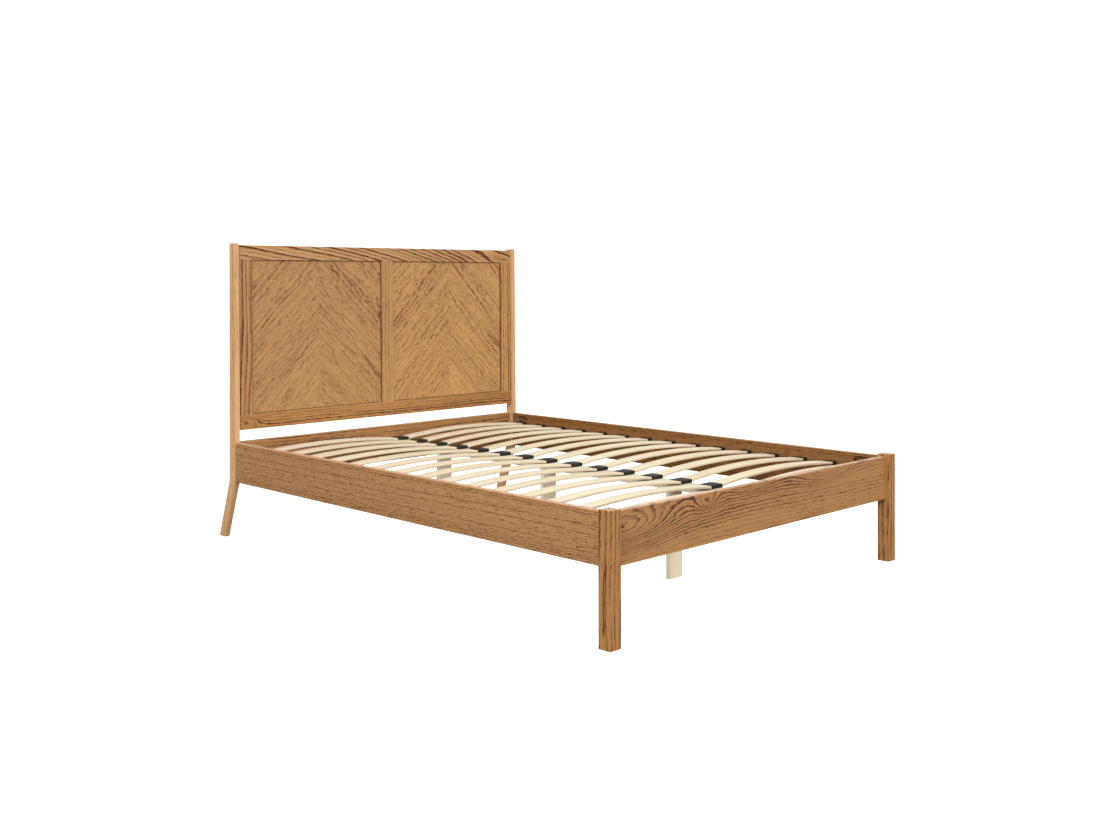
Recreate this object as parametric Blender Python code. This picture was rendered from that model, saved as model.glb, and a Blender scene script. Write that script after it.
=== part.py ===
"""King-size slatted bed frame in oak with a panelled headboard on splayed rear legs.

Metres, +Z up. X runs across the bed, the head is at +Y and the foot at -Y. The
origin is on the floor, at the middle of the bed's bounding box.
"""

import math

import bmesh
import bpy
from mathutils import Vector

# Mattress and the room round it
MATTRESS_WIDTH = 1.500
MATTRESS_LENGTH = 2.000
SIDE_ROOM = 0.0055
END_ROOM = 0.0175

# Side rails and foot rail
RAIL_THICKNESS = 0.0225
RAIL_HEIGHT = 0.159
RAIL_UNDERSIDE = 0.233
RAIL_EASE = 0.0015

# Foot legs
LEG_SIDE = 0.048
LEG_PROUD = 0.016
LEG_ABOVE_RAIL = 0.009
LEG_EASE = 0.002

# Headboard posts: leaning front, upright back, splayed foot below the rails
POST_THICKNESS = 0.0213
POST_DEPTH = 0.0465
POST_HEIGHT = 1.203
POST_LEAN = 0.010
SPLAY_REACH = 0.082
SPLAY_FOOT_DEPTH = 0.042

# Headboard frame, which leans with the front of the posts
FRAME_RECESS = 0.010
FRAME_THICKNESS = 0.022
FRAME_BELOW_POST = 0.007
TOP_RAIL_HEIGHT = 0.059
BOTTOM_RAIL_HEIGHT = 0.062
TUCK_GAP = 0.048
STILE_WIDTH = 0.064
MUNTIN_WIDTH = 0.064
PANEL_RECESS = 0.006
PANEL_THICKNESS = 0.009
PANEL_TONGUE = 0.008
LOWER_RAIL_RECESS = 0.023

# Tenons
TENON_LENGTH = 0.012
TENON_THICKNESS = 0.0104
TENON_SHOULDER = 0.014
TENON_TO_STUD = 0.0043

# Sprung slats and their plastic holders
SLAT_ROWS = 15
SLAT_WIDTH = 0.053
SLAT_THICKNESS = 0.0087
SLAT_BOW = 0.0185
SLAT_ARC_STEPS = 8
ROW_FROM_FOOT_RAIL = 0.0845
ROW_FROM_HEAD_RAIL = 0.095
CAP_WALL = 0.0014
CAP_FLOOR = 0.0019
CAP_ROOF = 0.0021
CAP_WEB = 0.003
SIDE_CAP_LENGTH = 0.0268
CENTRE_CAP_LENGTH = 0.061
CAP_TOP_BELOW_RAIL = 0.039
STRIP_WIDTH = 0.004
STRIP_HEIGHT = 0.0016

# Centre rail and its three board legs
CENTRE_RAIL_WIDTH = 0.070
CENTRE_RAIL_THICKNESS = 0.022
CENTRE_RAIL_HOUSING = 0.008
CENTRE_LEG_THICKNESS = 0.018
CENTRE_LEG_HOUSING = 0.006
CENTRE_LEG_COUNT = 3
CENTRE_LEG_SPREAD = 0.3125
CENTRE_LEG_EASE = 0.001

# Bed bolts: a stud from leg or post into a round-ended pocket in the rail
POCKET_RADIUS = 0.022
POCKET_LENGTH = 0.087
POCKET_DEPTH = 0.017
POCKET_BELOW_RAIL_TOP = 0.0106
POCKET_END_WALL = 0.022
POCKET_ARC_STEPS = 8
STUD_RADIUS = 0.004
STUD_SIDES = 10
STUD_IN_LEG = 0.020
STUD_INSET = 0.0105
STUD_TAIL = 0.004
NUT_RADIUS = 0.0075
NUT_LENGTH = 0.0065
WASHER_CHORD = 0.006
WASHER_THICKNESS = 0.012

GAP = 0.0003
CUT_PAST = 0.010

# Worked out across the bed, from the middle
inner_half = MATTRESS_WIDTH / 2 + SIDE_ROOM
rail_outer = inner_half + RAIL_THICKNESS
leg_outer = rail_outer + LEG_PROUD
leg_inner = leg_outer - LEG_SIDE
post_inner = rail_outer - POST_THICKNESS
frame_half = post_inner - GAP

# Worked out along the bed, from the foot legs' outer faces, then centred
inner_length = MATTRESS_LENGTH + 2 * END_ROOM
foot_rail_inner = LEG_PROUD + RAIL_THICKNESS
post_front = foot_rail_inner + inner_length
total_length = post_front + SPLAY_REACH + SPLAY_FOOT_DEPTH
y_shift = -total_length / 2
foot_face_y = y_shift
foot_rail_outer_y = y_shift + LEG_PROUD
foot_rail_inner_y = y_shift + foot_rail_inner
leg_back_y = y_shift + LEG_SIDE
post_front_y = y_shift + post_front
post_back_y = post_front_y + POST_DEPTH
lower_rail_front_y = post_front_y + LOWER_RAIL_RECESS

# Worked out upwards, from the floor
rail_top = RAIL_UNDERSIDE + RAIL_HEIGHT
leg_top = rail_top + LEG_ABOVE_RAIL
frame_bottom = rail_top + TUCK_GAP
frame_top = POST_HEIGHT - FRAME_BELOW_POST
stile_bottom = frame_bottom + BOTTOM_RAIL_HEIGHT
stile_top = frame_top - TOP_RAIL_HEIGHT
lean_slope = POST_LEAN / (POST_HEIGHT - rail_top)
cap_top = rail_top - CAP_TOP_BELOW_RAIL
slat_end_top = cap_top - CAP_ROOF - GAP
slat_end_bottom = slat_end_top - SLAT_THICKNESS
cap_bottom = slat_end_bottom - GAP - CAP_FLOOR
centre_rail_top = cap_bottom - GAP
centre_rail_bottom = centre_rail_top - CENTRE_RAIL_THICKNESS
pocket_z = rail_top - POCKET_BELOW_RAIL_TOP - POCKET_RADIUS
stud_x = inner_half + STUD_INSET
frame_tenon_tip = frame_half + TENON_LENGTH
foot_tenon_tip = stud_x - STUD_RADIUS - TENON_TO_STUD

# Worked out along the slats
centre_mouth = CENTRE_CAP_LENGTH / 2
side_mouth = inner_half - GAP - SIDE_CAP_LENGTH
slat_inner_end = CAP_WEB / 2 + GAP
slat_outer_end = inner_half - 2 * GAP - CAP_WEB
cap_depth = SLAT_WIDTH + 2 * (CAP_WALL + GAP)
first_row_y = foot_rail_inner_y + ROW_FROM_FOOT_RAIL
last_row_y = lower_rail_front_y - ROW_FROM_HEAD_RAIL
row_pitch = (last_row_y - first_row_y) / (SLAT_ROWS - 1)
row_ys = [last_row_y - row * row_pitch for row in range(SLAT_ROWS)]

SIDES = (("left", -1), ("right", 1))


def clear_scene():
    """Empty the scene of whatever the session opened with."""
    for obj in list(bpy.data.objects):
        bpy.data.objects.remove(obj, do_unlink=True)


def make_root():
    """The empty that carries every piece, on the floor at the bed's middle."""
    root = bpy.data.objects.new("bed_frame", None)
    root.empty_display_size = 0.2
    bpy.context.scene.collection.objects.link(root)


def material(name, colour, roughness, metallic=0.0):
    """A Principled material, or the one already made under this name."""
    if name in bpy.data.materials:
        return bpy.data.materials[name]
    made = bpy.data.materials.new(name)
    made.use_nodes = True
    shader = made.node_tree.nodes["Principled BSDF"]
    shader.inputs["Base Color"].default_value = (*colour, 1.0)
    shader.inputs["Roughness"].default_value = roughness
    shader.inputs["Metallic"].default_value = metallic
    return made


def post_oak():
    return material("post_oak", (0.56, 0.34, 0.16), 0.48)


def frame_oak():
    return material("frame_oak", (0.47, 0.26, 0.11), 0.50)


def panel_oak():
    return material("panel_oak", (0.46, 0.27, 0.12), 0.52)


def rail_oak():
    return material("rail_oak", (0.41, 0.23, 0.10), 0.50)


def leg_oak():
    return material("leg_oak", (0.43, 0.23, 0.09), 0.48)


def pine():
    return material("pine", (0.74, 0.60, 0.42), 0.60)


def birch():
    return material("birch", (0.86, 0.78, 0.62), 0.42)


def cap_plastic():
    return material("cap_plastic", (0.022, 0.023, 0.020), 0.45)


def zinc_steel():
    return material("zinc_steel", (0.72, 0.72, 0.70), 0.30, 1.0)


def solid(name, points, faces, look=None):
    """A piece from its points in the bed's frame, with its own origin at its middle."""
    spans = [(min(values), max(values)) for values in zip(*points)]
    middle = Vector([(low + high) / 2 for low, high in spans])
    mesh = bpy.data.meshes.new(name)
    mesh.from_pydata([Vector(point) - middle for point in points], [], faces)
    shape = bmesh.new()
    shape.from_mesh(mesh)
    bmesh.ops.recalc_face_normals(shape, faces=shape.faces)
    shape.to_mesh(mesh)
    shape.free()
    obj = bpy.data.objects.new(name, mesh)
    obj.location = middle
    obj.parent = bpy.data.objects["bed_frame"]
    bpy.context.scene.collection.objects.link(obj)
    if look:
        mesh.materials.append(look)
    return obj


def prism(name, outline, axis, low, high, look=None):
    """The outline swept along an axis; its points are the other two axes in XYZ order."""
    count = len(outline)
    points = []
    for level in (low, high):
        for first, second in outline:
            point = [first, second]
            point.insert(axis, level)
            points.append(tuple(point))
    faces = [tuple(range(count)), tuple(range(2 * count - 1, count - 1, -1))]
    for index in range(count):
        after = (index + 1) % count
        faces.append((index, after, count + after, count + index))
    return solid(name, points, faces, look)


def box(name, low, high, look=None, leans=False):
    """A block between two corners, which may lean back with the headboard."""
    (x0, y0, z0), (x1, y1, z1) = low, high
    obj = prism(name, [(x0, y0), (x1, y0), (x1, y1), (x0, y1)], 2, z0, z1, look)
    if leans:
        lean_back(obj)
    return obj


def lean_back(obj):
    """Shear towards the head, in proportion to the height above the side rails."""
    for vertex in obj.data.vertices:
        height = obj.location.z + vertex.co.z
        vertex.co.y += lean_slope * (height - rail_top)


def helper(obj):
    """Keep a cutter or a joined piece out of the render."""
    obj.hide_render = True
    obj.display_type = "WIRE"
    return obj


def combine(obj, other, operation):
    modifier = obj.modifiers.new(f"{operation.lower()} {other.name}", "BOOLEAN")
    modifier.operation = operation
    modifier.solver = "EXACT"
    modifier.object = helper(other)


def cut(obj, cutter):
    combine(obj, cutter, "DIFFERENCE")


def add(obj, piece):
    combine(obj, piece, "UNION")


def ease_edges(obj, width):
    """Break the sharp edges with a small flat."""
    modifier = obj.modifiers.new("eased edges", "BEVEL")
    modifier.width = width
    modifier.segments = 1
    modifier.limit_method = "ANGLE"
    modifier.angle_limit = math.radians(40)


def grown(low, high, by):
    """Both corners of a box moved out by one amount."""
    return tuple(v - by for v in low), tuple(v + by for v in high)


def across_tenon(side, end_x, tip_x, front_y, thickness, low_z, high_z):
    """Corners of the tenon on a crosswise rail's end, from inside the rail outwards."""
    middle_y = front_y + thickness / 2
    near_x = side * (end_x - TENON_LENGTH)
    far_x = side * tip_x
    low = (min(near_x, far_x), middle_y - TENON_THICKNESS / 2, low_z + TENON_SHOULDER)
    high = (max(near_x, far_x), middle_y + TENON_THICKNESS / 2, high_z - TENON_SHOULDER)
    return low, high


def tenoned_rail(name, end_x, tip_x, front_y, thickness, low_z, high_z, look, leans=False):
    """A crosswise rail with a tenon at each end; returns it and the tenons' corners."""
    low = (-end_x, front_y, low_z)
    high = (end_x, front_y + thickness, high_z)
    rail = box(name, low, high, look, leans)
    tenons = {}
    for label, side in SIDES:
        corners = across_tenon(side, end_x, tip_x, front_y, thickness, low_z, high_z)
        add(rail, box(f"{name}_tenon_{label}", *corners, leans=leans))
        tenons[side] = corners
    return rail, tenons


def post_outline():
    """Side view of a post as (y, z), from the back of its foot round to its front."""
    lean_at_top = post_front_y + POST_LEAN
    foot_front = post_front_y + SPLAY_REACH
    return [
        (foot_front + SPLAY_FOOT_DEPTH, 0.0),
        (post_back_y, RAIL_UNDERSIDE),
        (post_back_y, POST_HEIGHT),
        (lean_at_top, POST_HEIGHT),
        (post_front_y, rail_top),
        (post_front_y, RAIL_UNDERSIDE),
        (foot_front, 0.0),
    ]


def make_posts(tenon_sets):
    """The two headboard posts, mortised for every rail that meets them."""
    posts = {}
    for label, side in SIDES:
        xs = sorted((side * post_inner, side * rail_outer))
        name = f"headboard_post_{label}"
        post = prism(name, post_outline(), 0, *xs, post_oak())
        for index, (tenons, leans) in enumerate(tenon_sets):
            corners = grown(*tenons[side], GAP)
            cut(post, box(f"{name}_mortise_{index}", *corners, leans=leans))
        posts[side] = post
    return posts


def make_foot_legs(tenons):
    legs = {}
    for label, side in SIDES:
        xs = sorted((side * leg_inner, side * leg_outer))
        name = f"foot_leg_{label}"
        low = (xs[0], foot_face_y, 0.0)
        high = (xs[1], leg_back_y, leg_top)
        leg = box(name, low, high, leg_oak())
        ease_edges(leg, LEG_EASE)
        cut(leg, box(f"{name}_mortise", *grown(*tenons[side], GAP)))
        legs[side] = leg
    return legs


def panel_corners(side):
    """Corners of a headboard panel with its tongues, before it leans."""
    front = post_front_y + FRAME_RECESS + PANEL_RECESS
    xs = sorted(
        (
            side * (MUNTIN_WIDTH / 2 - PANEL_TONGUE),
            side * (frame_half - STILE_WIDTH + PANEL_TONGUE),
        )
    )
    low = (xs[0], front, stile_bottom - PANEL_TONGUE)
    high = (xs[1], front + PANEL_THICKNESS, stile_top + PANEL_TONGUE)
    return low, high


def make_upright(name, x0, x1):
    """A stile or the muntin, tenoned into the rails above and below it."""
    front = post_front_y + FRAME_RECESS
    low = (x0, front, stile_bottom + GAP)
    high = (x1, front + FRAME_THICKNESS, stile_top - GAP)
    upright = box(name, low, high, frame_oak(), leans=True)
    middle_y = front + FRAME_THICKNESS / 2
    tenon_low = (x0 + TENON_SHOULDER, middle_y - TENON_THICKNESS / 2, stile_bottom - TENON_LENGTH)
    tenon_high = (x1 - TENON_SHOULDER, middle_y + TENON_THICKNESS / 2, stile_top + TENON_LENGTH)
    add(upright, box(f"{name}_tenons", tenon_low, tenon_high, leans=True))
    return upright, (tenon_low, tenon_high)


def make_headboard_frame():
    """Top and bottom rails, stiles, muntin and two panels; returns the rails' tenons."""
    front = post_front_y + FRAME_RECESS
    look = frame_oak()
    span = (frame_half, frame_tenon_tip, front, FRAME_THICKNESS)
    top, top_tenons = tenoned_rail(
        "headboard_top_rail", *span, stile_top, frame_top, look, leans=True
    )
    bottom, bottom_tenons = tenoned_rail(
        "headboard_bottom_rail", *span, frame_bottom, stile_bottom, look, leans=True
    )
    half_muntin = MUNTIN_WIDTH / 2
    stile_inner = frame_half - STILE_WIDTH
    uprights = [
        make_upright("headboard_stile_left", -frame_half, -stile_inner),
        make_upright("headboard_muntin", -half_muntin, half_muntin),
        make_upright("headboard_stile_right", stile_inner, frame_half),
    ]
    for index, (_, tenon) in enumerate(uprights):
        mortise = box(f"headboard_mortise_{index}", *grown(*tenon, GAP), leans=True)
        cut(top, mortise)
        cut(bottom, mortise)
    for label, side in SIDES:
        corners = panel_corners(side)
        box(f"headboard_panel_{label}", *corners, panel_oak(), leans=True)
        groove = box(f"headboard_groove_{label}", *grown(*corners, GAP), leans=True)
        for piece in [top, bottom] + [upright for upright, _ in uprights]:
            cut(piece, groove)
    return top_tenons, bottom_tenons


def pocket_outline(near_y, direction):
    """Side view of a pocket as (y, z): a slot with round ends, starting near a rail end."""
    near = near_y + direction * POCKET_RADIUS
    far = near_y + direction * (POCKET_LENGTH - POCKET_RADIUS)
    points = []
    for centre, start in ((far, -math.pi / 2), (near, math.pi / 2)):
        for step in range(POCKET_ARC_STEPS + 1):
            angle = start + math.pi * step / POCKET_ARC_STEPS
            across = direction * POCKET_RADIUS * math.cos(angle)
            points.append((centre + across, pocket_z + POCKET_RADIUS * math.sin(angle)))
    return points


def round_y(name, x, z, radius, sides, y0, y1, look=None):
    """A round bar along Y."""
    outline = []
    for step in range(sides):
        angle = math.tau * (step + 0.5) / sides
        outline.append((x + radius * math.cos(angle), z + radius * math.sin(angle)))
    bar = prism(name, outline, 1, min(y0, y1), max(y0, y1), look)
    bar.data.shade_smooth()
    bar.data.set_sharp_from_angle(angle=math.radians(50))
    return bar


def washer_outline(near_y, direction):
    """Side view of a half-moon washer as (y, z), filling the pocket's near end."""
    radius = POCKET_RADIUS * math.cos(math.pi / (2 * POCKET_ARC_STEPS)) - GAP
    centre = near_y + direction * POCKET_RADIUS
    reach = math.acos(WASHER_CHORD / radius)
    points = []
    for step in range(POCKET_ARC_STEPS + 1):
        angle = math.pi - reach + 2 * reach * step / POCKET_ARC_STEPS
        across = direction * radius * math.cos(angle)
        points.append((centre + across, pocket_z + radius * math.sin(angle)))
    return points


def fit_bed_bolt(rail, support, label, side, joint_y, direction):
    """Stud, nut and washer at one rail end; direction runs from the joint into the rail."""
    near_y = joint_y + direction * POCKET_END_WALL
    inner_x = side * inner_half
    xs = sorted((inner_x + side * POCKET_DEPTH, inner_x - side * CUT_PAST))
    cut(rail, prism(f"pocket_{label}", pocket_outline(near_y, direction), 0, *xs))

    x = side * stud_x
    start = joint_y - direction * STUD_IN_LEG
    chord_y = near_y + direction * (POCKET_RADIUS - WASHER_CHORD)
    nut_y = chord_y + direction * GAP
    nut_end = nut_y + direction * NUT_LENGTH
    tail = nut_end + direction * STUD_TAIL
    stud = round_y(f"bed_bolt_{label}", x, pocket_z, STUD_RADIUS, STUD_SIDES, start, tail, zinc_steel())
    add(stud, round_y(f"nut_{label}", x, pocket_z, NUT_RADIUS, 6, nut_y, nut_end))

    clearance = STUD_RADIUS + GAP
    hole_start = start - direction * GAP
    hole = round_y(f"stud_hole_{label}", x, pocket_z, clearance, STUD_SIDES, hole_start, tail)
    cut(rail, hole)
    cut(support, hole)

    xs = sorted((x - side * WASHER_THICKNESS / 2, x + side * WASHER_THICKNESS / 2))
    outline = washer_outline(near_y, direction)
    washer = prism(f"half_moon_washer_{label}", outline, 0, *xs, zinc_steel())
    cut(washer, hole)


def make_side_rails(legs, posts):
    for label, side in SIDES:
        xs = sorted((side * inner_half, side * rail_outer))
        low = (xs[0], leg_back_y + GAP, RAIL_UNDERSIDE)
        high = (xs[1], post_front_y - GAP, rail_top)
        rail = box(f"side_rail_{label}", low, high, rail_oak())
        ease_edges(rail, RAIL_EASE)
        fit_bed_bolt(rail, legs[side], f"foot_{label}", side, leg_back_y, 1)
        fit_bed_bolt(rail, posts[side], f"head_{label}", side, post_front_y, -1)


def make_foot_rail():
    span = (leg_inner - GAP, foot_tenon_tip, foot_rail_outer_y, RAIL_THICKNESS)
    return tenoned_rail("foot_rail", *span, RAIL_UNDERSIDE, rail_top, rail_oak())


def make_lower_rail():
    thickness = POST_DEPTH - LOWER_RAIL_RECESS
    span = (frame_half, frame_tenon_tip, lower_rail_front_y, thickness)
    return tenoned_rail("headboard_lower_rail", *span, RAIL_UNDERSIDE, rail_top, rail_oak())


def make_centre_rail(foot_rail, lower_rail):
    """The flat rail under the middle of the slats, housed in the end rails."""
    half = CENTRE_RAIL_WIDTH / 2
    low = (-half, foot_rail_inner_y - CENTRE_RAIL_HOUSING, centre_rail_bottom)
    high = (half, lower_rail_front_y + CENTRE_RAIL_HOUSING, centre_rail_top)
    rail = box("centre_rail", low, high, pine())
    housing = box("centre_rail_housing", *grown(low, high, GAP))
    cut(foot_rail, housing)
    cut(lower_rail, housing)
    return rail


def make_centre_legs(rail):
    middle_y = (foot_rail_inner_y + post_front_y) / 2
    half = CENTRE_RAIL_WIDTH / 2
    for index in range(CENTRE_LEG_COUNT):
        offset = (index - (CENTRE_LEG_COUNT - 1) / 2) * CENTRE_LEG_SPREAD * inner_length
        y = middle_y + offset
        low = (-half, y - CENTRE_LEG_THICKNESS / 2, 0.0)
        high = (half, y + CENTRE_LEG_THICKNESS / 2, centre_rail_bottom + CENTRE_LEG_HOUSING)
        leg = box(f"centre_leg_{index + 1}", low, high, pine())
        ease_edges(leg, CENTRE_LEG_EASE)
        cut_low, cut_high = grown(low, high, GAP)
        cut_low = (cut_low[0] - CUT_PAST, cut_low[1], cut_low[2])
        cut_high = (cut_high[0] + CUT_PAST, cut_high[1], cut_high[2])
        cut(rail, box(f"centre_leg_housing_{index + 1}", cut_low, cut_high))


def slat_outline(side):
    """Front view of a sprung slat as (x, z): flat ends and an even upward bow between."""
    xs = [slat_inner_end]
    rises = [0.0]
    for step in range(SLAT_ARC_STEPS + 1):
        t = step / SLAT_ARC_STEPS
        xs.append(centre_mouth + t * (side_mouth - centre_mouth))
        rises.append(4 * SLAT_BOW * t * (1 - t))
    xs.append(slat_outer_end)
    rises.append(0.0)
    top = [(side * x, slat_end_top + rise) for x, rise in zip(xs, rises)]
    bottom = [(x, z - SLAT_THICKNESS) for x, z in reversed(top)]
    return top + bottom


def make_slats():
    for row, y in enumerate(row_ys, start=1):
        for label, side in SIDES:
            ends = (y - SLAT_WIDTH / 2, y + SLAT_WIDTH / 2)
            prism(f"slat_{label}_{row:02d}", slat_outline(side), 1, *ends, birch())


def blocks(name, corner_pairs):
    """Several separate blocks in one mesh."""
    points, faces = [], []
    for low, high in corner_pairs:
        start = len(points)
        for z in (low[2], high[2]):
            points += [(low[0], low[1], z), (high[0], low[1], z)]
            points += [(high[0], high[1], z), (low[0], high[1], z)]
        for face in ((0, 3, 2, 1), (4, 5, 6, 7), (0, 1, 5, 4), (1, 2, 6, 5), (2, 3, 7, 6), (3, 0, 4, 7)):
            faces.append(tuple(start + corner for corner in face))
    return solid(name, points, faces)


def row_boxes(x0, x1, depth, z0, z1):
    """One box per slat row, all alike."""
    x0, x1 = sorted((x0, x1))
    return [((x0, y - depth / 2, z0), (x1, y + depth / 2, z1)) for y in row_ys]


def holder_strip(name, x0, x1):
    """The thin strip that carries one line of slat holders."""
    x0, x1 = sorted((x0, x1))
    low = (x0, row_ys[-1] - cap_depth / 2, cap_bottom)
    high = (x1, row_ys[0] + cap_depth / 2, cap_bottom + STRIP_HEIGHT)
    return box(name, low, high, cap_plastic())


def slots(x0, x1):
    """Cutters for the sockets that the slats' ends sit in."""
    return row_boxes(x0, x1, SLAT_WIDTH + 2 * GAP, slat_end_bottom - GAP, slat_end_top + GAP)


def make_side_holders():
    """The holders along each side rail, carried on one strip at the rail's face."""
    for label, side in SIDES:
        face = side * (inner_half - GAP)
        name = f"slat_holders_{label}"
        holders = holder_strip(name, face, face - side * STRIP_WIDTH)
        caps = row_boxes(face, side * side_mouth, cap_depth, cap_bottom, cap_top)
        add(holders, blocks(f"{name}_caps", caps))
        sockets = slots(side * (slat_outer_end + GAP), side * (side_mouth - CUT_PAST))
        cut(holders, blocks(f"{name}_sockets", sockets))


def make_centre_holders():
    """The double holders along the centre rail, with a web between the two slats."""
    holders = holder_strip("slat_holders_centre", -STRIP_WIDTH, STRIP_WIDTH)
    caps = row_boxes(-centre_mouth, centre_mouth, cap_depth, cap_bottom, cap_top)
    add(holders, blocks("slat_holders_centre_caps", caps))
    past = centre_mouth + CUT_PAST
    sockets = slots(CAP_WEB / 2, past) + slots(-past, -CAP_WEB / 2)
    cut(holders, blocks("slat_holders_centre_sockets", sockets))


def build():
    clear_scene()
    make_root()
    foot_rail, foot_tenons = make_foot_rail()
    lower_rail, lower_tenons = make_lower_rail()
    top_tenons, bottom_tenons = make_headboard_frame()
    posts = make_posts([(lower_tenons, False), (top_tenons, True), (bottom_tenons, True)])
    legs = make_foot_legs(foot_tenons)
    make_side_rails(legs, posts)
    make_centre_legs(make_centre_rail(foot_rail, lower_rail))
    make_slats()
    make_side_holders()
    make_centre_holders()


build()
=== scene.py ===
"""The looks of a wooden bed frame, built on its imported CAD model."""

import math

import bmesh
import bpy
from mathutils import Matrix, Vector


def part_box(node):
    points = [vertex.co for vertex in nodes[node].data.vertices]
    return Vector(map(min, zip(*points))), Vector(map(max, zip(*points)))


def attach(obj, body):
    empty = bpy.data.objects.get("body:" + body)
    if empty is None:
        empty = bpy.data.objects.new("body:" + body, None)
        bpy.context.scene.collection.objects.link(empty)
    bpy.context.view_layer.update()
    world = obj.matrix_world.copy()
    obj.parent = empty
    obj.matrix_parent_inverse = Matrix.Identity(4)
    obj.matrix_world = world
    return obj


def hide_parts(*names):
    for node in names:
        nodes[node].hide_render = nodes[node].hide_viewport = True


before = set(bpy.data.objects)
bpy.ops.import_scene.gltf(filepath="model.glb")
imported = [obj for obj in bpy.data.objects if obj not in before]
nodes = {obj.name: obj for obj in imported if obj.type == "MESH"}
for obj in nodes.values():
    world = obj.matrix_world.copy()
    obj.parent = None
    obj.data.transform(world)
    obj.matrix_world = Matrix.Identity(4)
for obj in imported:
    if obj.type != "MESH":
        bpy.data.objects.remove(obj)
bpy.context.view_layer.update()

BODY = "root"
SIDES = (("left", -1), ("right", 1))
ROWS = range(1, 16)


# ---------------------------------------------------------------- node graphs


class Field:
    """A socket of a node tree that takes part in sums as a number does."""

    def __init__(self, graph, socket):
        self.graph, self.socket = graph, socket

    def __add__(self, other):
        return self.graph.math("ADD", self, other)

    def __sub__(self, other):
        return self.graph.math("SUBTRACT", self, other)

    def __rsub__(self, other):
        return self.graph.math("SUBTRACT", other, self)

    def __mul__(self, other):
        return self.graph.math("MULTIPLY", self, other)

    def __truediv__(self, other):
        return self.graph.math("DIVIDE", self, other)

    def __pow__(self, other):
        return self.graph.math("POWER", self, other)

    def __abs__(self):
        return self.graph.math("ABSOLUTE", self)

    __radd__, __rmul__ = __add__, __mul__


class Graph:
    """A material's node tree, with short calls for the nodes that the looks use."""

    def __init__(self, name):
        self.material = bpy.data.materials.new(name)
        self.material.use_nodes = True
        self.tree = self.material.node_tree
        self.tree.nodes.clear()

    def node(self, kind, inputs=None, **settings):
        made = self.tree.nodes.new(kind)
        for key, value in settings.items():
            setattr(made, key, value)
        for key, value in (inputs or {}).items():
            if isinstance(value, Field):
                self.tree.links.new(value.socket, made.inputs[key])
            else:
                made.inputs[key].default_value = value
        return made

    def math(self, operation, *values):
        made = self.node("ShaderNodeMath", dict(enumerate(values)), operation=operation)
        return Field(self, made.outputs[0])

    def object_point(self):
        return Field(self, self.node("ShaderNodeTexCoord").outputs["Object"])

    def up_facing(self):
        """The upward share of the face's own direction: 1 on a top, 0 on an upright face."""
        made = self.node("ShaderNodeNewGeometry")
        return self.split(Field(self, made.outputs["True Normal"]))[2]

    def split(self, vector):
        made = self.node("ShaderNodeSeparateXYZ", {0: vector})
        return [Field(self, made.outputs[i]) for i in range(3)]

    def join(self, x, y, z):
        return Field(self, self.node("ShaderNodeCombineXYZ", {0: x, 1: y, 2: z}).outputs[0])

    def stretch(self, vector, by):
        made = self.node("ShaderNodeVectorMath", {0: vector, 1: by}, operation="MULTIPLY")
        return Field(self, made.outputs[0])

    def noise(self, vector, by, detail=2.0, roughness=0.5, distortion=0.0):
        """Cloudy noise about zero, with by cells to the metre along each axis."""
        inputs = {"Vector": self.stretch(vector, by), "Scale": 1.0, "Detail": detail}
        inputs |= {"Roughness": roughness, "Distortion": distortion}
        made = self.node("ShaderNodeTexNoise", inputs)
        return Field(self, made.outputs[0]) - 0.5

    def random(self, value):
        """A repeatable random number from 0 to 1 for each whole value."""
        made = self.node("ShaderNodeTexWhiteNoise", {"W": value}, noise_dimensions="1D")
        return Field(self, made.outputs[0])

    def step(self, value, low, high, smooth=True):
        """0 where value is under low, 1 where it is over high, and smooth between."""
        kind = "SMOOTHSTEP" if smooth else "LINEAR"
        inputs = {"Value": value, "From Min": low, "From Max": high}
        made = self.node("ShaderNodeMapRange", inputs, interpolation_type=kind)
        return Field(self, made.outputs[0])

    def ramp(self, value, stops):
        made = self.node("ShaderNodeValToRGB", {0: value})
        points = made.color_ramp.elements
        while len(points) < len(stops):
            points.new(0.5)
        for point, (at, colour) in zip(points, stops):
            point.position = at
            point.color = (*colour, 1.0)
        return Field(self, made.outputs[0])

    def mix(self, share, first, second):
        colours = [
            (*c, 1.0) if isinstance(c, tuple) else c
            for c in (first, second)
        ]
        inputs = {0: share, 6: colours[0], 7: colours[1]}
        made = self.node("ShaderNodeMix", inputs, data_type="RGBA")
        return Field(self, made.outputs[2])

    def finish(self, colour, roughness, height, depth, **shader):
        """The Principled shader, with its bump, at the end of the tree."""
        inputs = {"Base Color": colour, "Roughness": roughness}
        inputs |= {key.replace("_", " "): value for key, value in shader.items()}
        if height is not None:
            bump = self.node("ShaderNodeBump", {"Height": height, "Distance": depth})
            inputs["Normal"] = Field(self, bump.outputs[0])
        made = self.node("ShaderNodeBsdfPrincipled", inputs)
        out = self.node("ShaderNodeOutputMaterial")
        self.tree.links.new(made.outputs[0], out.inputs[0])
        return self.material


def linear(*srgb):
    """A colour given as 0 to 255 sRGB, in the linear units that shaders take."""
    shares = [value / 255 for value in srgb]
    return tuple(s / 12.92 if s <= 0.04045 else ((s + 0.055) / 1.055) ** 2.4 for s in shares)


def scaled(colour, gain):
    """A linear colour made lighter or darker."""
    return tuple(channel * gain for channel in colour)


# ------------------------------------------------------------------ the woods


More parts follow.
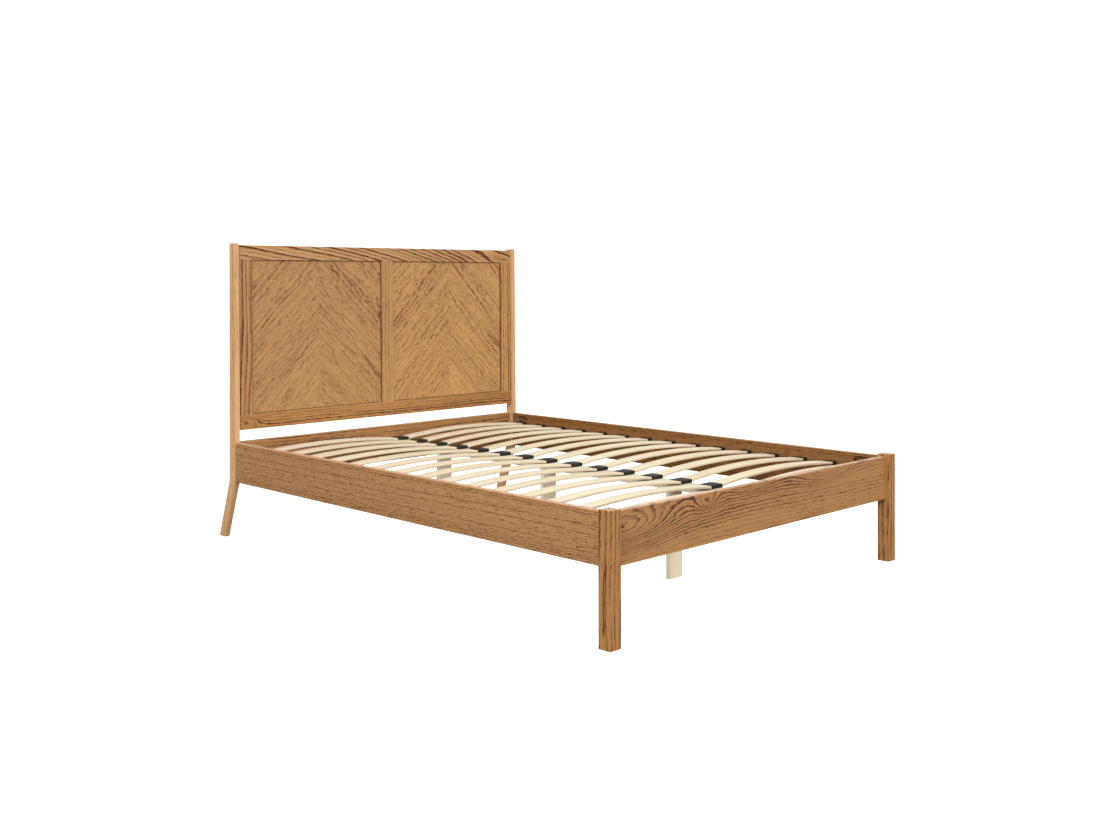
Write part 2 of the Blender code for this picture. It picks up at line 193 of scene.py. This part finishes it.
def grain(g, u, v, w, seed, look):
    """Oak's figure at a point u along the grain, v across the face and w into it.

    Returns its tone from 0, dark, to 1, light, the share of mineral streak, and its height.
    """
    point = g.join(u + seed * 3.7, v + seed * 1.3, w + seed * 0.7)
    sway = g.noise(point, (2.2, 12, 12), 1)
    jag = g.noise(point, look["jag_scale"], 3, 0.6)
    pith_v, pith_w = look["pith"]
    off_v = v - u * look["slope"] - u * u * look["curve"] - pith_v
    off_w = w - pith_w
    rings = g.math("SQRT", off_v * off_v + off_w * off_w) / look["ring"]
    rings = rings + sway * look["sway"] + jag * look["jag"]
    for at_u, at_v, wide, tall, high in look["knots"]:
        across = (u - at_u) / wide
        up = (v - at_v) / tall
        rings = rings + g.math("EXPONENT", (across * across + up * up) * -1) * high
    phase = g.math("FRACT", rings)
    strength = g.random(g.math("FLOOR", rings)) * 0.7 + 0.3
    broken = g.step(g.noise(point, (26, 120, 120), 2), -0.14, 0.08)
    rise = g.step(phase, 0.0, 0.12)
    hold = look["hold"]
    line = rise * (1 - phase) ** look["sharp"] * strength * (broken * (1 - hold) + hold)
    if look["fade"]:
        low, high, share = look["fade"]
        line = line * (1 - g.step(v * -9.0 + u, low, high) * share)
    cloud = g.noise(point, (1.3, 13, 13), 2)
    fibre = g.noise(point, (8, 260, 260), 3, 0.6)
    dash = g.step(g.noise(point, look["dash_scale"], 3, 0.55), 0.03, 0.17)
    fleck = g.step(g.noise(point, (60, 380, 380), 2, 0.6), 0.02, 0.18)
    pore = g.step(g.noise(point, (150, 1900, 1900), 1), 0.02, 0.14)
    tone = cloud * look["cloud"] + fibre * look["fibre"] + look["tone"]
    tone = tone - line * look["line"] - dash * look["dash"]
    tone = tone - fleck * look["fleck"] - pore * look["pore"]
    vein = abs(g.noise(point, look["vein_scale"], 3, 0.6, 0.3))
    vein = 1 - g.step(vein, 0.0, look["vein_width"])
    where = g.step(g.noise(point, (1.9, 9, 9), 1), look["vein_from"], look["vein_from"] + 0.10)
    height = fibre * 0.5 - pore * 0.6 - line * 0.5 - fleck * 0.3 - dash * 0.3
    return tone, vein * where * look["vein"], height


def cracks(g, u, v, w, lines):
    """Dark wandering hairlines. Each runs along u from low to high at one place across."""
    found = 0.0
    for axis, at, low, high, wide in lines:
        across = {"v": v, "w": w}[axis]
        wander = g.noise(g.join(u, at * 40, 0.0), (13, 1, 1), 4, 0.65) * 0.016
        swell = g.noise(g.join(u, at * 90, 3.0), (26, 1, 1), 2) * 1.6 + 0.8
        gap = abs(across - at - wander) / swell
        near = 1 - g.step(gap, wide * 0.3, wide)
        ends = g.step(u, low, low + 0.02) * (1 - g.step(u, high - 0.03, high))
        found = g.math("MAXIMUM", found, near * ends)
    return found


PLAIN = {
    "pith": (0.31, -0.26),
    "slope": 0.0,
    "curve": 0.0,
    "ring": 0.0062,
    "sway": 1.6,
    "jag": 0.9,
    "jag_scale": (55, 150, 150),
    "sharp": 1.8,
    "hold": 0.4,
    "fade": (),
    "knots": (),
    "tone": 0.62,
    "cloud": 0.45,
    "fibre": 0.9,
    "line": 0.45,
    "dash": 0.22,
    "dash_scale": (28, 190, 190),
    "fleck": 0.14,
    "pore": 0.10,
    "vein": 0.0,
    "vein_scale": (2.6, 17, 17),
    "vein_width": 0.012,
    "vein_from": -0.02,
    "cracks": (),
    "top_sheen": 0.45,
    "dark": (104, 64, 32),
    "middle": (166, 118, 70),
    "light": (194, 146, 96),
    "mineral": (92, 66, 58),
    "gain": 1.3,
    "rough": 0.50,
}
# The pale pink of the painted highlight on the oak's top faces.
TOP_SHEEN_PINK = (226, 192, 164)
RUBBED = (0.0050, 0.0008)  # how near an arris the lacquer starts to wear, and where it is worn


def oak(name, centre, order, half, seed, **changes):
    """A lacquered oak board. order names the world axes that run along, across and into it."""
    look = PLAIN | changes
    g = Graph(name)
    parts = [part - at for part, at in zip(g.split(g.object_point()), centre)]
    u, v, w = (parts["XYZ".index(letter)] for letter in order)
    tone, mineral, height = grain(g, u, v, w, seed, look)
    if look["cracks"]:
        split = cracks(g, u, v, w, look["cracks"])
        height = height - split * 0.6
    half_v, half_w = (half["XYZ".index(letter)] for letter in order[1:])
    rubbed = g.step((half_v - abs(v)) + (half_w - abs(w)), *RUBBED)
    tone = tone + rubbed * (g.noise(g.join(u, v, w), (30, 60, 60), 2) * 0.5 + 0.20)
    gain = look["gain"]
    shades = [scaled(linear(*look[key]), gain) for key in ("dark", "middle", "light")]
    colour = g.ramp(tone, [(0.08, shades[0]), (0.5, shades[1]), (0.92, shades[2])])
    colour = g.mix(mineral, colour, scaled(linear(*look["mineral"]), gain))
    if look["cracks"]:
        colour = g.mix(split, colour, linear(44, 26, 15))
    # Painted highlight: faces that look up are mixed towards a pale pink, standing in for the
    # light from above.
    top_sheen = g.step(g.up_facing(), 0.70, 0.95) * look["top_sheen"]
    colour = g.mix(top_sheen * (tone * 0.5 + 0.6), colour, linear(*TOP_SHEEN_PINK))
    roughness = look["rough"] - tone * 0.12
    return g.finish(colour, roughness, height, 0.00035, Specular_IOR_Level=0.35)


PLIES = 7
HALF_PITCH = 0.0671  # half the slats' pitch along Y, so that each slat lies inside one cell


def birch(name, gain, start, length, base, bow):
    """Pale slat veneers: fine grain along X, and the glue lines of the plies on the edges."""
    g = Graph(name)
    x, y, z = g.split(g.object_point())
    row = g.math("FLOOR", y / HALF_PITCH)
    each = g.random(row + g.math("SIGN", x) * 31.5)
    point = g.join(x + each * 5.0, y, z)
    fibre = g.noise(point, (7, 420, 420), 3, 0.6)
    cloud = g.noise(point, (2.5, 24, 24), 2)
    dash = g.step(g.noise(point, (60, 700, 700), 1), 0.08, 0.2)
    tone = cloud * 0.7 + fibre * 0.7 - dash * 0.14 + each * 0.14 + 0.50
    shades = [(0.1, (216, 192, 152)), (0.5, (240, 224, 190)), (0.9, (252, 242, 216))]
    colour = g.ramp(tone, [(at, scaled(linear(*c), gain)) for at, c in shades])
    share = g.math("MINIMUM", g.math("MAXIMUM", (abs(x) - start) / length, 0.0), 1.0) * 2 - 1
    level = (z - base - bow * (1 - share * share)) / SLAT_THICK
    ply = g.math("FLOOR", level * PLIES)
    ply_tone = g.math("FRACT", ply * 0.5) * 0.7 + fibre * 0.8 + 0.3
    edge = g.ramp(ply_tone, [
        (0.1, linear(204, 180, 144)), (0.5, linear(246, 226, 194)), (0.9, linear(253, 238, 210)),
    ])
    side = 1 - g.step(abs(g.up_facing()), 0.30, 0.75)
    colour = g.mix(side, colour, edge)
    height = fibre - dash * 0.5
    return g.finish(colour, 0.56 - tone * 0.1, height, 0.00018, Specular_IOR_Level=0.25)


PINE_RING = 0.0058


def pine(name, order, gain, seed):
    """Bare softwood, with broad soft growth lines."""
    g = Graph(name)
    parts = g.split(g.object_point())
    u, v, w = (parts["XYZ".index(letter)] for letter in order)
    point = g.join(u + seed * 2.3, v, w + seed)
    sway = g.noise(point, (2.4, 14, 14), 2)
    rings = (v + w * 0.45) / PINE_RING + sway * 3.0
    phase = g.math("FRACT", rings)
    line = phase**3.0
    fibre = g.noise(point, (12, 380, 380), 3, 0.6)
    cloud = g.noise(point, (3, 20, 20), 2)
    tone = cloud * 0.6 + fibre * 0.5 - line * 0.3 + 0.62
    shades = [(0.1, (206, 176, 134)), (0.5, (240, 224, 196)), (0.9, (250, 240, 218))]
    colour = g.ramp(tone, [(at, scaled(linear(*c), gain)) for at, c in shades])
    return g.finish(colour, 0.62, fibre - line * 0.4, 0.0003)


def moulded_plastic(name):
    """Charcoal plastic with a fine spark-eroded texture and paler rubbed patches."""
    g = Graph(name)
    point = g.object_point()
    spark = g.noise(point, (1500, 1500, 1500), 2, 0.6)
    cloud = g.noise(point, (60, 60, 60), 3)
    colour = g.ramp(cloud + 0.5, [(0.3, (0.011, 0.012, 0.010)), (0.7, (0.026, 0.027, 0.023))])
    return g.finish(colour, cloud * 0.3 + 0.58, spark, 0.00012, Specular_IOR_Level=0.16)


def zinc(name):
    """Bright zinc plate with faint spangle and drawn scratches."""
    g = Graph(name)
    point = g.object_point()
    spangle = g.noise(point, (420, 420, 420), 2)
    scratch = g.noise(point, (180, 2600, 900), 2, 0.7)
    tone = spangle * 0.8 + scratch * 0.4 + 0.5
    colour = g.ramp(tone, [(0.2, (0.56, 0.57, 0.58)), (0.8, (0.82, 0.82, 0.80))])
    return g.finish(colour, scratch * 0.3 + 0.30, scratch, 0.00005, Metallic=1.0)


# ------------------------------------------------------------------ the boards


def middle(node):
    """The middle of a node's box, and half its size."""
    low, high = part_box(node)
    return (low + high) / 2, (high - low) / 2


def take_over(piece, node, material):
    """Put a finished piece in the place of its CAD node."""
    piece.data.materials.clear()
    piece.data.materials.append(material)
    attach(piece, BODY)
    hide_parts(node)
    return piece


def board(node, name, material):
    """A copy of the node's own solid, its curved faces shaded smooth and its edges sharp."""
    shape = bmesh.new()
    shape.from_mesh(nodes[node].data)
    bmesh.ops.remove_doubles(shape, verts=shape.verts, dist=1e-6)
    bmesh.ops.dissolve_limit(
        shape, angle_limit=math.radians(0.5), verts=shape.verts, edges=shape.edges
    )
    mesh = bpy.data.meshes.new(name)
    shape.to_mesh(mesh)
    shape.free()
    mesh.shade_smooth()
    mesh.set_sharp_from_angle(angle=math.radians(52))
    piece = bpy.data.objects.new(name, mesh)
    bpy.context.scene.collection.objects.link(piece)
    weigh = piece.modifiers.new("flat faces", "WEIGHTED_NORMAL")
    weigh.keep_sharp = True
    return take_over(piece, node, material)


def oak_board(node, slot, order, seed, **changes):
    """A board in oak of its own. order names the axes along, across and into its face."""
    centre, half = middle(node)
    material = oak(f"oak_{node}", centre, order, half, seed, **changes)
    return board(node, f"{node}_board", material)


def make_headboard():
    post = {
        "dark": (136, 98, 58), "middle": (194, 150, 104), "light": (208, 166, 120),
        "ring": 0.0090, "line": 0.50, "tone": 0.66, "dash": 0.12,
    }
    oak_board("headboard_post_left", "post_oak", "ZXY", 1, **post)
    oak_board("headboard_post_right", "post_oak", "ZXY", 2, **post)
    oak_board(
        "headboard_top_rail", "frame_oak", "XZY", 3,
        pith=(0.22, -0.06), slope=-0.26, curve=-0.105, ring=0.0175, sway=1.3, jag=0.55,
        jag_scale=(22, 80, 80), sharp=1.7, hold=0.85, line=1.75, tone=0.96, dash=0.12,
        dark=(70, 38, 14), middle=(152, 107, 61), light=(182, 138, 90),
    )
    oak_board(
        "headboard_bottom_rail", "frame_oak", "XZY", 4,
        ring=0.0095, line=1.5, hold=0.6, knots=((-0.72, 0.006, 0.060, 0.026, 3.5),),
        middle=(146, 98, 50), light=(170, 122, 68), dark=(64, 36, 14), tone=0.88,
    )
    oak_board(
        "headboard_stile_left", "frame_oak", "ZXY", 5,
        ring=0.0140, sharp=1.7, hold=0.9, line=1.8, sway=2.6, jag=0.6, tone=0.96,
        dash=0.08, middle=(144, 99, 53), light=(170, 124, 74), dark=(42, 23, 10),
    )
    oak_board(
        "headboard_stile_right", "frame_oak", "ZXY", 6,
        ring=0.0120, line=1.50, hold=0.75, middle=(158, 111, 62), light=(184, 136, 82),
        tone=0.88, dark=(78, 46, 20),
    )
    oak_board(
        "headboard_muntin", "frame_oak", "ZXY", 7,
        ring=0.0115, line=0.85, hold=0.6, middle=(166, 121, 73), light=(184, 140, 90),
        tone=0.76,
    )
    oak_board(
        "headboard_lower_rail", "rail_oak", "XZY", 8,
        pith=(-0.16, -0.05), ring=0.0140, sway=3.4, line=1.15, vein=0.75, hold=0.7,
        vein_scale=(4.2, 20, 20), vein_width=0.022, vein_from=-0.08, tone=0.88,
        middle=(148, 102, 56), light=(168, 122, 74), dark=(84, 48, 20), mineral=(84, 54, 30),
    )


def make_rails():
    fine = {
        "ring": 0.0060, "line": 1.45, "dash": 0.62, "fleck": 0.24, "fibre": 1.0,
        "hold": 0.85, "tone": 1.08, "cloud": 0.14, "jag": 1.7, "jag_scale": (40, 120, 120),
        "dash_scale": (40, 215, 215), "sharp": 1.7,
        "dark": (94, 62, 32), "middle": (146, 104, 60), "light": (168, 124, 78),
    }
    oak_board("side_rail_left", "rail_oak", "YZX", 9, **fine)
    # Painted shade: the far rail takes darker colours than the near one, as it lies in shade
    # under the slats.
    far_rail_painted_shade = fine | {"middle": (114, 74, 34), "light": (132, 90, 46), "dark": (76, 46, 20)}
    oak_board("side_rail_right", "rail_oak", "YZX", 10, **far_rail_painted_shade)
    oak_board(
        "foot_rail", "rail_oak", "XZY", 11,
        pith=(-0.40, -0.10), ring=0.0132, sway=1.5, jag=1.2, jag_scale=(34, 80, 80),
        sharp=2.8, line=2.3, dash=0.16, hold=0.9, cloud=0.3,
        knots=(
            (-0.730, 0.020, 0.220, 0.058, 9.0),
            (-0.33, 0.052, 0.058, 0.030, 3.6),
            (-0.10, 0.088, 0.130, 0.036, 3.4),
            (0.36, 0.070, 0.150, 0.038, 4.2),
        ),
        fade=(-0.55, 0.25, 0.50),
        vein=0.45, vein_scale=(6.0, 22, 22), vein_width=0.02, vein_from=0.04, tone=0.80,
        middle=(154, 108, 61), light=(170, 123, 74), dark=(74, 48, 34), mineral=(88, 62, 54),
    )


def make_foot_legs():
    leg = {
        "ring": 0.0135, "line": 1.5, "middle": (150, 103, 55), "light": (168, 119, 69),
        "dark": (72, 42, 20), "tone": 0.85, "dash": 0.30, "hold": 0.7, "jag": 0.6,
        "sharp": 2.2,
    }
    splits = (("w", 0.002, -0.17, 0.04, 0.0036), ("v", 0.0190, -0.21, -0.04, 0.0030))
    oak_board("foot_leg_left", "leg_oak", "ZXY", 12, cracks=splits, **leg)
    splits = (("v", -0.004, -0.17, -0.02, 0.0026),)
    oak_board("foot_leg_right", "leg_oak", "ZXY", 13, cracks=splits, **leg)


def make_panels():
    """The two veneered panels, whose strips climb to a ridge at each panel's middle."""
    for label, seed in (("left", 21), ("right", 22)):
        node = f"headboard_panel_{label}"
        gain = {"left": 1.0, "right": 1.14}[label]
        material = chevron_veneer(f"chevron_{label}", middle(node)[0], seed, gain)
        board(node, f"{node}_veneered", material)


STRIP = 0.098
STRIP_JOINT = 0.0016
PANEL_SHOWS = (0.3302, 0.3175)
# How far in from the panel's visible edge the painted shadow line is full, and where it has
# faded out.
SHADE_LINE_REACH = (0.0010, 0.0062)


def chevron_veneer(name, centre, seed, gain):
    """Strips at 45 degrees, mirrored about the panel's middle, each cut from its own oak."""
    g = Graph(name)
    x, y, z = (part - at for part, at in zip(g.split(g.object_point()), centre))
    side = g.math("SIGN", x)
    out = abs(x)
    across = (z + out) * math.sqrt(0.5)
    along = (out - z) * math.sqrt(0.5)
    strip = g.math("FLOOR", across / STRIP)
    number = strip * 2 + side * 0.5 + seed
    own, figure = g.random(number), g.random(number + 40)
    local = across - (strip + 0.5) * STRIP
    look = PLAIN | {
        "pith": (0.03, -0.09), "ring": 0.0100, "sway": 3.0, "jag": 1.7, "sharp": 2.0,
        "jag_scale": (46, 120, 120), "dash": 0.34, "dash_scale": (38, 210, 210),
        "fleck": 0.22, "fibre": 1.0, "cloud": 0.25, "tone": 0.84, "hold": 0.4,
        "vein": 0.20, "vein_scale": (7, 34, 34), "vein_width": 0.02,
    }
    look["line"] = figure * figure * 0.95 + 0.60
    shift = local + own * 0.10 - 0.05
    tone, mineral, height = grain(g, along + own * 9.0, shift, y, own * 6 + seed, look)
    tone = tone + own * 0.10 - 0.05
    joint = g.step(abs(local), STRIP / 2 - STRIP_JOINT, STRIP / 2)
    tone = tone - joint * 0.16
    shades = [(0.08, (86, 52, 24)), (0.5, (150, 107, 62)), (0.92, (176, 132, 84))]
    colour = g.ramp(tone, [(at, scaled(linear(*c), 1.3 * gain)) for at, c in shades])
    colour = g.mix(mineral, colour, scaled(linear(90, 58, 34), 1.3))
    # Painted shadow: the veneer darkens towards the panel's visible edges, where the frame's
    # recess casts shade.
    reach_x, reach_z = PANEL_SHOWS
    inside = g.math("MINIMUM", reach_x - out, reach_z - abs(z))
    panel_edge_shade = 1 - g.step(inside, *SHADE_LINE_REACH)
    colour = g.mix(panel_edge_shade * 0.8, colour, linear(70, 42, 20))
    return g.finish(colour, 0.5 - tone * 0.1, height, 0.00025, Specular_IOR_Level=0.35)


# ------------------------------------------------------- slats and their caps


def rounded_outline(wide, tall, radius, per_corner, dome=0.0):
    """A rounded rectangle about the origin, its top raised by dome along the middle."""
    outline = []
    corners = ((1, 1, 0), (-1, 1, 90), (-1, -1, 180), (1, -1, 270))
    for side, up, start in corners:
        for step in range(per_corner + 1):
            turn = math.radians(start + 90 * step / per_corner)
            a = side * (wide / 2 - radius) + radius * math.cos(turn)
            b = up * (tall / 2 - radius) + radius * math.sin(turn)
            lift = dome * (1 - (2 * a / wide) ** 2) if b > 0 else 0.0
            outline.append((a, b + lift))
    return outline


def loft(name, rings):
    """A closed skin through rings of points, with a fan at each end."""
    count = len(rings[0])
    points = [point for ring in rings for point in ring]
    faces = []
    for level in range(len(rings) - 1):
        for i in range(count):
            j = (i + 1) % count
            low, high = level * count, (level + 1) * count
            faces.append((low + i, low + j, high + j, high + i))
    faces.append(tuple(range(count)))
    faces.append(tuple((len(rings) - 1) * count + i for i in range(count)))
    mesh = bpy.data.meshes.new(name)
    mesh.from_pydata(points, [], faces)
    shape = bmesh.new()
    shape.from_mesh(mesh)
    bmesh.ops.recalc_face_normals(shape, faces=shape.faces)
    shape.to_mesh(mesh)
    shape.free()
    mesh.shade_smooth()
    mesh.set_sharp_from_angle(angle=math.radians(48))
    piece = bpy.data.objects.new(name, mesh)
    bpy.context.scene.collection.objects.link(piece)
    return piece


SLAT_THICK = 0.0087
SLAT_STEPS = 26
SLAT_ARRIS = 0.0014


def make_slats():
    """The sprung slats: flat inside the caps, and an even bow from mouth to mouth."""
    low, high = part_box("slat_right_01")  # every slat has the same ends and height
    bow = high.z - low.z - SLAT_THICK
    inner_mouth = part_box("slat_holders_centre")[1].x
    outer_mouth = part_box("slat_holders_right")[0].x
    span = outer_mouth - inner_mouth
    stations = [low.x] + [inner_mouth + span * i / SLAT_STEPS for i in range(SLAT_STEPS + 1)]
    stations.append(high.x)
    material = birch("birch_slats", 0.76, inner_mouth, span, low.z, bow)
    for label, side in SIDES:
        for row in ROWS:
            node = f"slat_{label}_{row:02d}"
            low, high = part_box(node)
            outline = rounded_outline(high.y - low.y, SLAT_THICK, SLAT_ARRIS, 3)
            mid_y = (low.y + high.y) / 2
            rings = []
            for out in stations:
                share = min(max((out - inner_mouth) / span, 0.0), 1.0)
                z = low.z + SLAT_THICK / 2 + bow * 4 * share * (1 - share)
                rings.append([(side * out, mid_y + a, z + b) for a, b in outline])
            take_over(loft(f"{node}_sprung", rings), node, material)


CAP_CORNER = 0.0030
CAP_DOME = 0.0009
CAP_CHAMFER = 0.0006
CHAMFER_RUN = 0.0007
LIP_DEPTH = 0.0008
CAP_WALLS = 0.0034  # both side walls of a cap together, with the room beside the slat
HALF_WEB = 0.0015
END_WALL = 0.0036
BACK_INSET = 0.0018
BACK_STEP = 0.0004
BACK_RUN = 0.0016
INNER_RING = 0.010
SOCKET_ROOM = 0.0003


def cap_rings(spans, wide, tall, slat_wide, socket_shift):
    """Rings of a cap along X. spans lists x, how far the skin is drawn in, and which skin."""
    rings = []
    for x, inset, inner in spans:
        if inner:
            outline = rounded_outline(
                slat_wide + 2 * SOCKET_ROOM, SLAT_THICK + 2 * SOCKET_ROOM, SLAT_ARRIS, 5
            )
            rings.append([(x, a, b + socket_shift) for a, b in outline])
            continue
        body = tall - CAP_DOME - 2 * inset
        outline = rounded_outline(wide - 2 * inset, body, CAP_CORNER - inset / 2, 5, CAP_DOME)
        rings.append([(x, a, b - CAP_DOME / 2) for a, b in outline])
    return rings


def make_caps():
    """One moulded cap for each slat end at the sides, and a double one along the middle."""
    material = moulded_plastic("charcoal_caps")
    slat_low, slat_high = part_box("slat_left_01")
    slat_wide = slat_high.y - slat_low.y
    for label in ("left", "right", "centre"):
        node = f"slat_holders_{label}"
        low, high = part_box(node)
        tall = high.z - low.z
        wide = slat_wide + CAP_WALLS
        mid_z = (low.z + high.z) / 2
        shift = slat_low.z + SLAT_THICK / 2 - mid_z
        if label == "centre":
            spans = [(-HALF_WEB, 0, True), (low.x + LIP_DEPTH, 0, True)]
            spans += [(low.x, CAP_CHAMFER, False), (low.x + CHAMFER_RUN, 0, False)]
            spans += [(-INNER_RING, 0, False), (INNER_RING, 0, False)]
            spans += [(high.x - CHAMFER_RUN, 0, False), (high.x, CAP_CHAMFER, False)]
            spans += [(high.x - LIP_DEPTH, 0, True), (HALF_WEB, 0, True)]
        else:
            back, mouth = (low.x, high.x) if label == "left" else (high.x, low.x)
            way = 1 if label == "left" else -1
            spans = [(back, BACK_INSET, False), (back + way * BACK_STEP, CAP_CHAMFER, False)]
            spans += [(back + way * BACK_RUN, 0, False), (mouth - way * CHAMFER_RUN, 0, False)]
            spans += [(mouth, CAP_CHAMFER, False), (mouth - way * LIP_DEPTH, 0, True)]
            spans += [(back + way * END_WALL, 0, True)]
        for row in ROWS:
            at_low, at_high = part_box(f"slat_left_{row:02d}")
            mid_y = (at_low.y + at_high.y) / 2
            rings = cap_rings(spans, wide, tall, slat_wide, shift)
            rings = [[(x, mid_y + a, mid_z + b) for x, a, b in ring] for ring in rings]
            cap = loft(f"slat_cap_{label}_{row:02d}", rings)
            take_over(cap, node, material)


# --------------------------------------------------- centre support, hardware


def make_centre_support():
    """The rail under the middle of the slats, darker for its shade, and its three legs."""
    board("centre_rail", "centre_rail_board", pine("pine_rail", "YXZ", 0.74, 2.0))
    for index in (1, 2, 3):
        node = f"centre_leg_{index}"
        board(node, f"{node}_board", pine(f"pine_leg_{index}", "ZXY", 1.26, index))


def make_hardware():
    plate = zinc("zinc_plate")
    for end in ("foot", "head"):
        for label, _ in SIDES:
            for kind in ("bed_bolt", "half_moon_washer"):
                node = f"{kind}_{end}_{label}"
                board(node, f"{node}_plated", plate)


# ------------------------------------------------------------ floor and light


WALL_RINGS = ((12.0, 0.0), (14.0, 0.6), (15.0, 2.5), (15.0, 12.0))  # radius and height
WALL_SIDES = 48


def make_floor():
    """A pale floor that runs up into a round wall, lit from within and seen only directly."""
    g = Graph("studio_floor")
    cloud = g.noise(g.object_point(), (3, 3, 3), 3)
    colour = g.ramp(cloud + 0.5, [(0.3, (0.50, 0.50, 0.50)), (0.7, (0.53, 0.53, 0.53))])
    material = g.finish(
        colour, 0.9, None, 0, Emission_Color=(1.0, 1.0, 1.0, 1.0), Emission_Strength=1.0
    )
    points, faces = [], [tuple(range(WALL_SIDES))]
    for radius, height in WALL_RINGS:
        for step in range(WALL_SIDES):
            turn = math.tau * step / WALL_SIDES
            points.append((radius * math.cos(turn), radius * math.sin(turn), height))
    for level in range(len(WALL_RINGS) - 1):
        for i in range(WALL_SIDES):
            j = (i + 1) % WALL_SIDES
            a, b = level * WALL_SIDES, (level + 1) * WALL_SIDES
            faces.append((a + i, b + i, b + j, a + j))
    mesh = bpy.data.meshes.new("studio_floor")
    mesh.from_pydata(points, [], faces)
    mesh.materials.append(material)
    floor = bpy.data.objects.new("studio_floor", mesh)
    bpy.context.scene.collection.objects.link(floor)
    floor.visible_diffuse = False
    floor.visible_glossy = False
    floor.visible_shadow = False


SKY_RISE = (0.02, 0.30)  # the sine of the height at which the sky starts and stops rising
SKY_GLOW = (0.16, 1.10)


def area_light(name, place, aim, wide, tall, watts):
    lamp = bpy.data.lights.new(name, "AREA")
    lamp.shape = "RECTANGLE"
    lamp.size, lamp.size_y = wide, tall
    lamp.energy = watts
    light = bpy.data.objects.new(name, lamp)
    light.location = place
    light.rotation_euler = (Vector(aim) - light.location).to_track_quat("-Z", "Y").to_euler()
    bpy.context.scene.collection.objects.link(light)


def make_light():
    """A bright sky that fades out low down, a soft key light and a low one in front."""
    world = bpy.data.worlds.new("studio")
    bpy.context.scene.world = world
    world.use_nodes = True
    tree = world.node_tree
    tree.nodes.clear()
    place = tree.nodes.new("ShaderNodeTexCoord")
    split = tree.nodes.new("ShaderNodeSeparateXYZ")
    ramp = tree.nodes.new("ShaderNodeMapRange")
    back = tree.nodes.new("ShaderNodeBackground")
    out = tree.nodes.new("ShaderNodeOutputWorld")
    tree.links.new(place.outputs["Generated"], split.inputs[0])
    tree.links.new(split.outputs[2], ramp.inputs["Value"])
    ramp.inputs["From Min"].default_value, ramp.inputs["From Max"].default_value = SKY_RISE
    ramp.inputs["To Min"].default_value, ramp.inputs["To Max"].default_value = SKY_GLOW
    tree.links.new(ramp.outputs[0], back.inputs["Color"])
    tree.links.new(back.outputs[0], out.inputs[0])
    area_light("key_softbox", (-6.0, -3.4, 4.6), (0, 0, 0.5), 3.5, 3.5, 350.0)
    area_light("front_softbox", (0.8, -6.5, 0.75), (0, 0, 0.35), 4.0, 1.3, 105.0)


EYE = (-3.329, -3.4194, 1.0676)
EYE_TURN = -45.149
FILM_WIDTH = 36.0
FOCAL_LENGTH = 38.92
FILM_SHIFT = -0.1282


def make_camera():
    """A level camera in front of the foot's left corner, its film shifted to look down."""
    lens = bpy.data.cameras.new("photo_camera")
    lens.sensor_fit = "HORIZONTAL"
    lens.sensor_width = FILM_WIDTH
    lens.lens = FOCAL_LENGTH
    lens.shift_y = FILM_SHIFT
    camera = bpy.data.objects.new("photo_camera", lens)
    camera.location = EYE
    camera.rotation_euler = (math.radians(90), 0, math.radians(EYE_TURN))
    bpy.context.scene.collection.objects.link(camera)
    bpy.context.scene.camera = camera


make_camera()
make_headboard()
make_panels()
make_rails()
make_foot_legs()
make_slats()
make_caps()
make_centre_support()
make_hardware()
make_floor()
make_light()
bpy.context.scene.view_settings.view_transform = "Standard"
